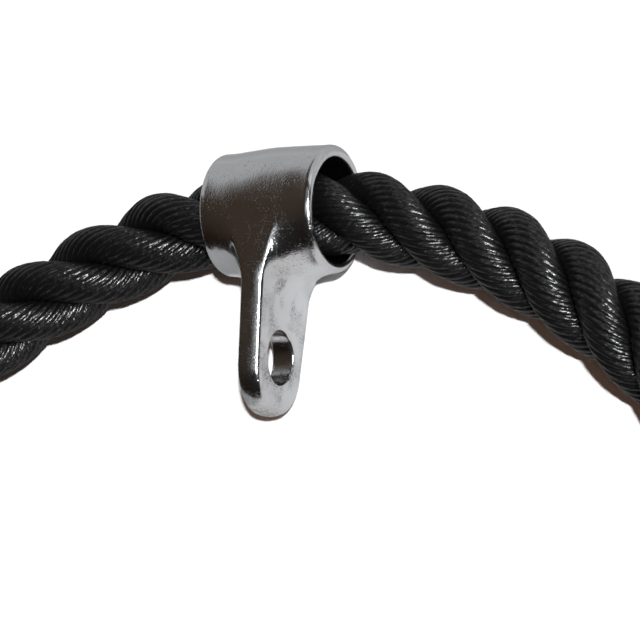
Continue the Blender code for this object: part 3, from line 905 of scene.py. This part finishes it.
def build_fixings(settings):
    """The ferrule, washer and screw of each end."""
    steel, washer_finish, screw_finish = plated("ferrule_steel"), plated("washer_zinc"), plated("screw_zinc")
    for side, way in (("left", -1), ("right", 1)):
        laid = end_matrix(way, settings)
        ferrule = turned(side + "_ferrule", ferrule_outline(settings), laid, steel)
        washer = turned(side + "_washer", washer_outline(settings), laid, washer_finish, steps=72)
        mesh = screw_mesh(side + "_screw", settings)
        mesh.transform(laid)
        screw = add_object(side + "_screw", mesh, screw_finish)
        for piece, node, slot in (
            (ferrule, "_end_ferrule", "ferrule_steel"),
            (washer, "_end_washer", "washer_zinc"),
            (screw, "_end_screw", "screw_zinc"),
        ):
            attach(piece, side + "_arm")
            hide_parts(side + node)


# Materials


def set_sockets(tree, node, values):
    """Links or sets a node's inputs, by name or place. A colour is given as three numbers."""
    for key, value in values.items():
        socket = node.inputs[key]
        if isinstance(value, bpy.types.NodeSocket):
            tree.links.new(value, socket)
        elif socket.type == "RGBA":
            socket.default_value = (*value, 1)
        else:
            socket.default_value = value


def new_material(name):
    """A material with its node tree and its shader."""
    material = bpy.data.materials.new(name)
    material.use_nodes = True
    return material, material.node_tree, material.node_tree.nodes["Principled BSDF"]


def math_node(tree, operation, *values):
    """The result of a sum on numbers or other nodes' values."""
    node = tree.nodes.new("ShaderNodeMath")
    node.operation = operation
    set_sockets(tree, node, dict(enumerate(values)))
    return node.outputs["Value"]


def range_node(tree, value, low, high, to_low=0, to_high=1):
    """A value brought from one range onto another, and held at its ends."""
    node = tree.nodes.new("ShaderNodeMapRange")
    ends = {"From Min": low, "From Max": high, "To Min": to_low, "To Max": to_high}
    set_sockets(tree, node, {"Value": value, **ends})
    return node.outputs["Result"]


def noise_node(tree, place, scale, detail=2, roughness=0.5):
    """Cloudy noise at a place."""
    node = tree.nodes.new("ShaderNodeTexNoise")
    set_sockets(tree, node, {"Vector": place, "Scale": scale, "Detail": detail, "Roughness": roughness})
    return node.outputs["Fac"]


def mix_colour(tree, share, first, second):
    """A colour between two."""
    node = tree.nodes.new("ShaderNodeMix")
    node.data_type = "RGBA"
    set_sockets(tree, node, {"Factor": share, "A": first, "B": second})
    return node.outputs["Result"]


def weighted_sum(tree, parts):
    """The sum of values, each times its share."""
    total = 0
    for value, share in parts:
        total = math_node(tree, "MULTIPLY_ADD", value, share, total)
    return total


def bump_node(tree, height, distance):
    """The surface's normals from a height."""
    node = tree.nodes.new("ShaderNodeBump")
    set_sockets(tree, node, {"Strength": 1, "Distance": distance, "Height": height})
    return node.outputs["Normal"]


def flaws_group():
    """Plating and moulding flaws: small pits, dull smudges, a fine grain and low waves, from a position."""
    group = bpy.data.node_groups.get("Surface Flaws")
    if group:
        return group
    group = bpy.data.node_groups.new("Surface Flaws", "ShaderNodeTree")
    group.interface.new_socket("Position", in_out="INPUT", socket_type="NodeSocketVector")
    defaults = {"Pit Spacing": 400, "Pit Size": 0.12, "Pit Cover": 0.5, "Smudge Scale": 90, "Grain Scale": 2500}
    for name, default in defaults.items():
        socket = group.interface.new_socket(name, in_out="INPUT", socket_type="NodeSocketFloat")
        socket.default_value = default
    for name in ("Pits", "Smudges", "Grain", "Waves"):
        group.interface.new_socket(name, in_out="OUTPUT", socket_type="NodeSocketFloat")
    given = group.nodes.new("NodeGroupInput").outputs
    place = given["Position"]

    cells = group.nodes.new("ShaderNodeTexVoronoi")
    set_sockets(group, cells, {"Vector": place, "Scale": given["Pit Spacing"]})
    pits = range_node(group, cells.outputs["Distance"], given["Pit Size"], PIT_FLOOR)
    patches = noise_node(group, place, PATCH_SCALE, detail=3)
    covered = math_node(group, "ADD", patches, given["Pit Cover"])
    smudges = noise_node(group, place, given["Smudge Scale"], detail=3)
    dust = noise_node(group, place, DUST_SCALE, detail=3, roughness=0.75)
    grain = noise_node(group, place, given["Grain Scale"])
    found = {
        "Pits": (pits, range_node(group, covered, *PIT_PATCHES)),
        "Smudges": (range_node(group, smudges, *SMUDGE_PATCHES), range_node(group, dust, *DUST)),
        "Grain": (grain, range_node(group, patches, *GRAIN_PATCHES)),
    }
    outputs = {name: math_node(group, "MULTIPLY", *pair) for name, pair in found.items()}
    outputs["Waves"] = noise_node(group, place, WAVE_SCALE, detail=1)
    set_sockets(group, group.nodes.new("NodeGroupOutput"), outputs)
    return group


def add_flaws(tree, values):
    """A piece's flaws, read from its own coordinates, and those coordinates."""
    place = tree.nodes.new("ShaderNodeTexCoord").outputs["Object"]
    flaws = tree.nodes.new("ShaderNodeGroup")
    flaws.node_tree = flaws_group()
    set_sockets(tree, flaws, {"Position": place, **values})
    return flaws.outputs, place


def plated(name):
    """Plated metal: bright, with pits, and duller where it has been handled."""
    colour, handled_colour, pit_colour, roughness, smudge_scale = PLATINGS[name]
    material, tree, shader = new_material(name)
    flaws, _ = add_flaws(tree, {"Smudge Scale": smudge_scale})
    handled = mix_colour(tree, flaws["Smudges"], colour, handled_colour)
    grain = math_node(tree, "MULTIPLY", flaws["Grain"], PLATED_GRAIN)
    height = math_node(tree, "SUBTRACT", grain, flaws["Pits"])
    look = {
        "Metallic": 1,
        "Base Color": mix_colour(tree, flaws["Pits"], handled, pit_colour),
        "Roughness": range_node(tree, flaws["Smudges"], 0, 1, *roughness),
        "Normal": bump_node(tree, height, PLATED_BUMP),
    }
    set_sockets(tree, shader, look)
    return material


def chrome_smudges(tree, coarse, fine, place):
    """Dull smudges, mostly down the lug, and the two stains on it."""
    split = tree.nodes.new("ShaderNodeSeparateXYZ")
    set_sockets(tree, split, {"Vector": place})
    edges = [CROWN.y - reach * COLLAR_RADIUS for reach in (SMUDGES_FROM, SMUDGES_FULL)]
    down_lug = range_node(tree, split.outputs["Y"], *edges, SMUDGES_ON_SLEEVE, SMUDGES_ON_LUG)
    smudges = math_node(tree, "MULTIPLY", coarse["Smudges"], down_lug)
    speckled = range_node(tree, fine["Grain"], *STAIN_SPECKLE)
    for stain in STAINS:
        from_stain = tree.nodes.new("ShaderNodeVectorMath")
        from_stain.operation = "DISTANCE"
        set_sockets(tree, from_stain, {0: place, 1: stain})
        near = range_node(tree, from_stain.outputs["Value"], STAIN_REACH, STAIN_CORE)
        smudges = math_node(tree, "MULTIPLY_ADD", near, speckled, smudges)
    return smudges


def collar_chrome(settings):
    """Bright plating over a casting: fine pits all over, and larger ones and dull smudges down the lug."""
    material, tree, shader = new_material("collar_chrome")
    coarse, place = add_flaws(tree, CHROME_COARSE)
    fine, _ = add_flaws(tree, CHROME_FINE)
    smudges = chrome_smudges(tree, coarse, fine, place)
    colour = settings.collar.colour
    handled = mix_colour(tree, smudges, colour, [CHROME_SMUDGED * value for value in colour])
    parts = (
        (coarse["Pits"], CHROME_COARSE_PITS),
        (fine["Pits"], CHROME_FINE_PITS),
        (fine["Grain"], CHROME_GRAIN),
        (coarse["Waves"], CHROME_WAVES),
    )
    look = {
        "Metallic": 1,
        "Specular Tint": CHROME_TINT,
        "Base Color": mix_colour(tree, coarse["Pits"], handled, CHROME_PIT_COLOUR),
        "Roughness": range_node(tree, smudges, 0, 1, *CHROME_ROUGHNESS),
        "Normal": bump_node(tree, weighted_sum(tree, parts), CHROME_BUMP),
    }
    set_sockets(tree, shader, look)
    return material


def stop_rubber(settings):
    """Matt moulded rubber with a fine grain and a little dust."""
    material, tree, shader = new_material("stop_rubber")
    flaws, _ = add_flaws(tree, RUBBER_FLAWS)
    height = math_node(tree, "SUBTRACT", flaws["Grain"], flaws["Pits"])
    look = {
        "Base Color": mix_colour(tree, flaws["Smudges"], settings.stop.colour, RUBBER_DUST_COLOUR),
        "Roughness": range_node(tree, flaws["Smudges"], 0, 1, *RUBBER_ROUGHNESS),
        "Normal": bump_node(tree, height, RUBBER_BUMP),
    }
    set_sockets(tree, shader, look)
    return material


def rope_fibre(settings):
    """Glossy black plastic filaments, which run along each yarn."""
    material, tree, shader = new_material("rope_fibre")
    uv = tree.nodes.new("ShaderNodeUVMap")
    uv.uv_map = "fibre"
    noises, parts = {}, []
    for name, (counts, detail, roughness, share) in FIBRE_NOISES.items():
        stretch = tree.nodes.new("ShaderNodeMapping")
        set_sockets(tree, stretch, {"Vector": uv.outputs["UV"], "Scale": counts})
        noises[name] = noise_node(tree, stretch.outputs["Vector"], 1, detail=detail, roughness=roughness)
        parts.append((noises[name], share))
    facing = tree.nodes.new("ShaderNodeLayerWeight").outputs["Facing"]
    polish = range_node(tree, noises["specks"], *GLOSS_SPECKS)
    shown = range_node(tree, facing, *GLOSS_FACING)
    colour = settings.rope.colour
    normal = bump_node(tree, weighted_sum(tree, parts), FIBRE_BUMP)
    look = {
        "Base Color": mix_colour(tree, noises["filaments"], colour, [FIBRE_PALE * value for value in colour]),
        "Roughness": FIBRE_ROUGHNESS,
        "Specular IOR Level": FIBRE_SPECULAR,
        "Coat Weight": math_node(tree, "MULTIPLY", polish, shown),
        "Coat Roughness": COAT_ROUGHNESS,
        "Coat IOR": COAT_IOR,
        "Normal": normal,
        "Coat Normal": normal,
    }
    set_sockets(tree, shader, look)
    return material


# The studio


def add_lamp(name, way, strength, angle, colour):
    """A far lamp in a direction, which reflections don't see."""
    light = bpy.data.lights.new(name, "SUN")
    light.energy = strength
    light.angle = angle
    light.color = colour
    lamp = bpy.data.objects.new(name, light)
    lamp.rotation_euler = Vector(way).to_track_quat("Z", "Y").to_euler()
    lamp.visible_glossy = False
    bpy.context.scene.collection.objects.link(lamp)


def staged(name, finish, corners, look):
    """A flat sheet of the studio, with a material of its own."""
    mesh = bpy.data.meshes.new(name)
    mesh.from_pydata(corners, [], [range(len(corners))])
    material, tree, shader = new_material(finish)
    set_sockets(tree, shader, look)
    sheet = add_object(name, mesh, material)
    return sheet


def flat_card(left, right, front, back, height=OVER_FLOOR):
    """The corners of a card that lies flat."""
    return [(left, front, height), (right, front, height), (right, back, height), (left, back, height)]


def build_floor(studio):
    """A wide matt floor."""
    look = {"Base Color": studio.floor_colour, "Roughness": 1, "Specular IOR Level": 0}
    staged("floor", "floor_paper", flat_card(-FLOOR_HALF, FLOOR_HALF, -FLOOR_HALF, FLOOR_HALF, 0), look)


def card_towards(way, distance, half_width, half_height):
    """The corners of a card that faces the object from a direction."""
    way = Vector(way).normalized()
    across = Vector((0, 0, 1)).cross(way).normalized()
    up = way.cross(across)
    steps = ((-1, -1), (1, -1), (1, 1), (-1, 1))
    return [way * distance + across * half_width * x + up * half_height * y for x, y in steps]


def build_cards():
    """Cards that only reflections see: white ones behind the object and on the floor, a bright window at the right,
    which puts the glints on the rope, and two on the ceiling. The left ones' slanted edges lie one past the other,
    so that the sleeve's bright top fades out."""
    back = [
        (BACK_CARD_LEFT, CARD_BACK, 0), (CARD_SIDE, CARD_BACK, 0),
        (CARD_SIDE, CARD_BACK, CARD_TOP), (BACK_CARD_LEFT, CARD_BACK, CARD_TOP),
    ]
    floor_left = flat_card(-CARD_SIDE, FLOOR_LEFT_SIDE, FLOOR_FRONT, FLOOR_FOLD)
    cards = {
        "right_card": (back, BACK_STRENGTH),
        "floor_behind": (flat_card(-CARD_SIDE, CARD_SIDE, FLOOR_FOLD, CARD_BACK), FLOOR_BACK_STRENGTH),
        "floor_left": (floor_left, FLOOR_LEFT_STRENGTH),
    }
    for name, (way, distance, half_width, half_height, strength) in OVERHEAD_CARDS.items():
        cards[name] = (card_towards(way, distance, half_width, half_height), strength)
    for step in range(LEFT_CARDS):
        share = step / (LEFT_CARDS - 1)
        behind = CARD_BACK + LEFT_CARD_GAP * step
        foot = (EDGE_FOOT + FOOT_SHIFT * share, behind, 0)
        peak = (-CARD_SIDE, behind, EDGE_PEAK + PEAK_SHIFT * share)
        corners = [(-CARD_SIDE, behind, 0), foot, peak]
        cards["left_card_%d" % step] = (corners, BACK_STRENGTH * (1 - LEFT_CARD_FADE * share))
    for name, (corners, strength) in cards.items():
        look = {"Base Color": (0, 0, 0), "Emission Color": CARD_COLOUR, "Emission Strength": strength}
        card = staged(name, name, corners, look)
        card.visible_camera = False
        card.visible_diffuse = False
        card.visible_shadow = False


def build_room(studio):
    """A dim room that reflections see above the white floor, and plain white for the camera: brown at the left,
    darker towards the front and the floor, and nearly black at the right."""
    world = bpy.data.worlds.new("room")
    bpy.context.scene.world = world
    world.use_nodes = True
    tree = world.node_tree
    nodes = tree.nodes
    split = nodes.new("ShaderNodeSeparateXYZ")
    set_sockets(tree, split, {"Vector": nodes.new("ShaderNodeTexCoord").outputs["Generated"]})
    x, y, z = split.outputs

    middle = studio.room_colour
    shade = [ROOM_SHADE * value for value in middle]
    back = [ROOM_BACK * value for value in middle]
    colour = mix_colour(tree, range_node(tree, y, *FRONT_TO_MIDDLE), shade, middle)
    colour = mix_colour(tree, range_node(tree, y, *MIDDLE_TO_BACK), colour, back)
    colour = mix_colour(tree, range_node(tree, z, *FLOOR_TO_CEILING), shade, colour)
    colour = mix_colour(tree, range_node(tree, x, *RIGHT_TO_LEFT), studio.dark_colour, colour)

    dim = nodes["Background"]
    white = nodes.new("ShaderNodeBackground")
    either = nodes.new("ShaderNodeMixShader")
    for_camera = nodes.new("ShaderNodeLightPath").outputs["Is Camera Ray"]
    set_sockets(tree, dim, {"Color": colour})
    set_sockets(tree, white, {"Color": (1, 1, 1)})
    set_sockets(tree, either, {0: for_camera, 1: dim.outputs["Background"], 2: white.outputs["Background"]})
    set_sockets(tree, nodes["World Output"], {"Surface": either.outputs["Shader"]})


def build_studio(settings):
    """The camera, two lamps, the floor, the cards and the room."""
    studio = settings.studio
    camera = bpy.data.cameras.new("camera")
    camera.lens = studio.lens
    camera.sensor_width = 36
    camera.clip_start = 0.01
    camera.clip_end = 20
    eye = bpy.data.objects.new("camera", camera)
    eye.location = studio.camera_place
    eye.rotation_euler = Euler(studio.camera_turn)
    bpy.context.scene.collection.objects.link(eye)
    bpy.context.scene.camera = eye

    add_lamp("key_lamp", studio.lamp_way, studio.lamp_strength, studio.lamp_angle, studio.lamp_colour)
    add_lamp("warm_fill", (0, 0, 1), studio.fill_strength, studio.fill_angle, studio.fill_colour)
    build_floor(studio)
    build_cards()
    build_room(studio)
    bpy.context.scene.view_settings.view_transform = "Standard"


# The add-on's buttons


class ROPE_OT_studio(bpy.types.Operator):
    """Set the camera, the lamps, the floor and the room"""

    bl_idname = "rope_attachment.studio"
    bl_label = "Studio"

    def execute(self, context):
        build_studio(context.scene.rope_attachment)
        return {"FINISHED"}


class ROPE_OT_rope(bpy.types.Operator):
    """Lay the rope's three strands along its route"""

    bl_idname = "rope_attachment.rope"
    bl_label = "Rope"

    def execute(self, context):
        build_rope(context.scene.rope_attachment)
        return {"FINISHED"}


class ROPE_OT_collar(bpy.types.Operator):
    """Cast the collar"""

    bl_idname = "rope_attachment.collar"
    bl_label = "Collar"

    def execute(self, context):
        build_collar(context.scene.rope_attachment)
        return {"FINISHED"}


class ROPE_OT_stops(bpy.types.Operator):
    """Mould the two end stops"""

    bl_idname = "rope_attachment.stops"
    bl_label = "End Stops"

    def execute(self, context):
        build_stops(context.scene.rope_attachment)
        return {"FINISHED"}


class ROPE_OT_fixings(bpy.types.Operator):
    """Make the ferrules, washers and screws, and work out the path of each free stretch of rope"""

    bl_idname = "rope_attachment.fixings"
    bl_label = "Fixings"

    def execute(self, context):
        settings = context.scene.rope_attachment
        build_fixings(settings)
        declare_cords(settings)
        return {"FINISHED"}


class ROPE_PT_panel(bpy.types.Panel):
    """The attachment's settings, and a button for each group of pieces"""

    bl_label = "Rope Attachment"
    bl_space_type = "VIEW_3D"
    bl_region_type = "UI"
    bl_category = "Rope"

    def draw(self, context):
        settings = context.scene.rope_attachment
        for part in (settings.rope, settings.collar, settings.stop, settings.fixings, settings.studio):
            box = self.layout.box()
            for name in part.bl_rna.properties.keys():
                if name not in ("rna_type", "name"):
                    box.prop(part, name)
        for operator in OPERATORS:
            self.layout.operator(operator.bl_idname)


GROUPS = (RopeSettings, CollarSettings, StopSettings, FixingSettings, StudioSettings, AttachmentSettings)
OPERATORS = (ROPE_OT_studio, ROPE_OT_rope, ROPE_OT_collar, ROPE_OT_stops, ROPE_OT_fixings)


def register():
    for kind in (*GROUPS, *OPERATORS, ROPE_PT_panel):
        bpy.utils.register_class(kind)
    bpy.types.Scene.rope_attachment = PointerProperty(type=AttachmentSettings)


def unregister():
    del bpy.types.Scene.rope_attachment
    for kind in reversed((*GROUPS, *OPERATORS, ROPE_PT_panel)):
        bpy.utils.unregister_class(kind)


def main():
    """Builds everything."""
    register()
    bpy.ops.rope_attachment.studio()
    bpy.ops.rope_attachment.rope()
    bpy.ops.rope_attachment.collar()
    bpy.ops.rope_attachment.stops()
    bpy.ops.rope_attachment.fixings()


if __name__ == "__main__":
    main()
